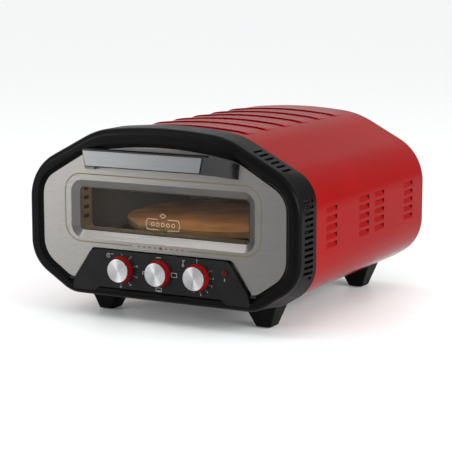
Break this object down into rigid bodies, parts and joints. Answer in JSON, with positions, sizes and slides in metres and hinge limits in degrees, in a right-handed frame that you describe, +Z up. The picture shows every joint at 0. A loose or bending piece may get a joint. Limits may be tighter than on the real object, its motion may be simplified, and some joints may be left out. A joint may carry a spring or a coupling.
{
  "type": "countertop pizza oven",
  "caption": "Countertop pizza oven: rounded octagonal painted body, moulded bezel, drop-down window door with bar handle, control knobs below, stone inside.",
  "frame": {"origin": "on the table top, at the middle of the overall width and depth", "axes": "+X to the right seen from the front, +Y towards the rear, +Z up"},
  "size_m": [0.473, 0.547, 0.303],
  "materials": {
    "black_plastic": "satin black, finely textured moulding",
    "foot_plastic": "matt black moulding",
    "rubber": "black rubber",
    "seal": "braided glass-fibre",
    "red_paint": "gloss red enamel",
    "black_sheet": "semi-matt black enamel",
    "zinc_screw": "bright zinc",
    "red_lens": "clear red jewel",
    "lamp_body": "natural nylon",
    "sheet_steel": "aluminised steel sheet",
    "device_plastic": "phenolic housing",
    "stone": "cordierite stone, coarse and dry",
    "heating_rod": "oxidised steel sheath",
    "fibre_blanket": "ceramic fibre blanket",
    "copper_alloy": "copper",
    "brushed_steel": "horizontally brushed stainless steel",
    "glass": "clear tempered glass",
    "gloss_black": "polished black moulding",
    "handle_metal": "fine brushed aluminium",
    "knob_red": "gloss red moulding",
    "knob_metal": "spun aluminium"
  },
  "bodies": {
    "housing": {"front_bezel": "black_plastic", "outer_shell": "red_paint", "rear_panel": "black_sheet", "cable_gland": "foot_plastic", "foot_front_left": "foot_plastic", "foot_front_right": "foot_plastic", "foot_rear_left": "foot_plastic", "foot_rear_right": "foot_plastic", "foot_screws": "zinc_screw", "foot_pads": "rubber", "base_plate": "black_sheet", "hinge_pins": "zinc_screw", "control_panel": "black_plastic", "indicator_lens": "red_lens", "indicator_lamp": "lamp_body", "control_bracket": "sheet_steel", "timer_mechanism": "device_plastic", "mode_switch": "device_plastic", "thermostat": "device_plastic", "front_frame": "black_sheet", "oven_chamber": "sheet_steel", "baking_stone": "stone", "stone_rests": "sheet_steel", "upper_heating_element": "heating_rod", "lower_heating_element": "heating_rod", "insulation_blanket": "fibre_blanket", "chamber_legs": "sheet_steel", "heat_shield": "sheet_steel", "terminal_block": "device_plastic", "thermal_cutout": "copper_alloy", "thermostat_bulb": "copper_alloy", "rear_screws": "zinc_screw"},
    "door": {"door_panel": "brushed_steel", "door_inner_panel": "black_sheet", "door_glass_outer": "glass", "door_glass_inner": "glass", "window_liner": "sheet_steel", "door_seal": "seal", "glass_clips": "sheet_steel", "door_hinge_left": "sheet_steel", "door_hinge_right": "sheet_steel", "handle_core": "gloss_black", "handle_cover": "handle_metal"},
    "timer_knob": {"timer_knob_skirt": "knob_red", "timer_knob_cap": "knob_metal", "timer_shaft": "zinc_screw"},
    "mode_knob": {"mode_knob_skirt": "knob_red", "mode_knob_cap": "knob_metal", "mode_shaft": "zinc_screw"},
    "thermostat_knob": {"thermostat_knob_skirt": "knob_red", "thermostat_knob_cap": "knob_metal", "thermostat_shaft": "zinc_screw"}
  },
  "joints": [
    {"name": "door_hinge", "type": "hinge", "parent": "housing", "child": "door", "pos_m": [0, -0.2189, 0.0612], "axis": [1, 0, 0], "range_deg": [0, 90]},
    {"name": "timer_turn", "type": "hinge", "parent": "housing", "child": "timer_knob", "pos_m": [-0.0662, -0.237, 0.083], "axis": [0, 1, 0], "range_deg": [0, 190]},
    {"name": "mode_turn", "type": "hinge", "parent": "housing", "child": "mode_knob", "pos_m": [0, -0.237, 0.083], "axis": [0, 1, 0], "range_deg": [-270, 0]},
    {"name": "thermostat_turn", "type": "hinge", "parent": "housing", "child": "thermostat_knob", "pos_m": [0.0662, -0.237, 0.083], "axis": [0, 1, 0], "range_deg": [-195, 0]}
  ]
}
